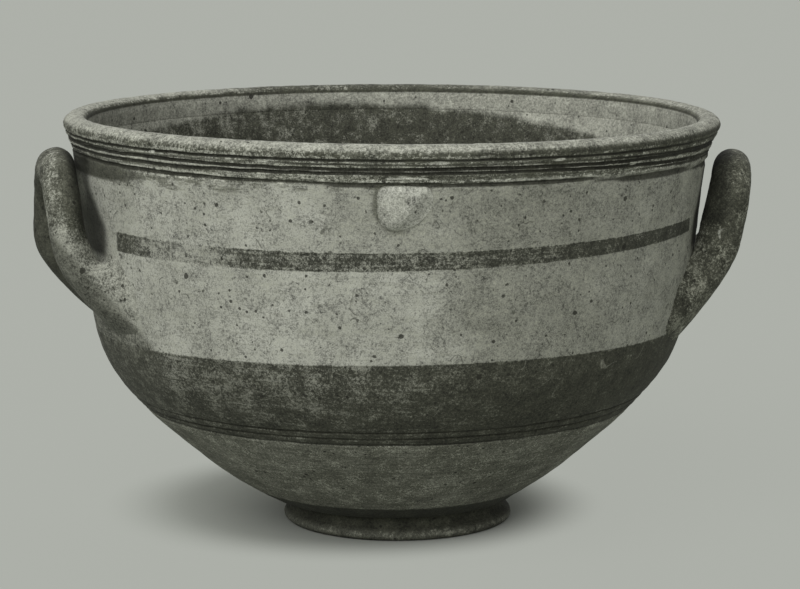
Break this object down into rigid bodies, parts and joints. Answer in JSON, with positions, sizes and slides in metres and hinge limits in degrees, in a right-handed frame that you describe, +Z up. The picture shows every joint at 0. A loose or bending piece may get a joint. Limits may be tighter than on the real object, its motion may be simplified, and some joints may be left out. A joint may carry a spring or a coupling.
{
  "type": "two-handled bowl",
  "caption": "Deep clay bowl on a ring foot, with two up-turned loop handles, a grooved rim, a small pressed lug and brushed dark bands over pale slip.",
  "frame": {"origin": "on the floor under the middle of the foot ring", "axes": "+Z up; the handles are by +X and -X, each 8.5 degrees towards the lug; the lug is on -Y, 5 degrees towards -X"},
  "size_m": [0.3344, 0.3, 0.191],
  "materials": {
    "foot_clay": "unglazed fired clay under worn dark slip",
    "dark_washed_clay": "brushed dark slip, matt and worn",
    "pale_slipped_clay": "pale slip, matt, speckled and pitted",
    "rim_clay": "dark slip worn pale on the ridges",
    "handle_clay": "dark slip, worn and scratched",
    "root_clay": "smeared clay under thin slip",
    "lug_clay": "pale slip, matt"
  },
  "bodies": {
    "root": {"foot_ring": "foot_clay", "lower_bowl": "dark_washed_clay", "upper_wall": "pale_slipped_clay", "rim": "rim_clay", "left_handle": "handle_clay", "right_handle": "handle_clay", "left_front_root": "root_clay", "left_back_root": "root_clay", "right_front_root": "root_clay", "right_back_root": "root_clay", "front_lug": "lug_clay"}
  },
  "joints": []
}
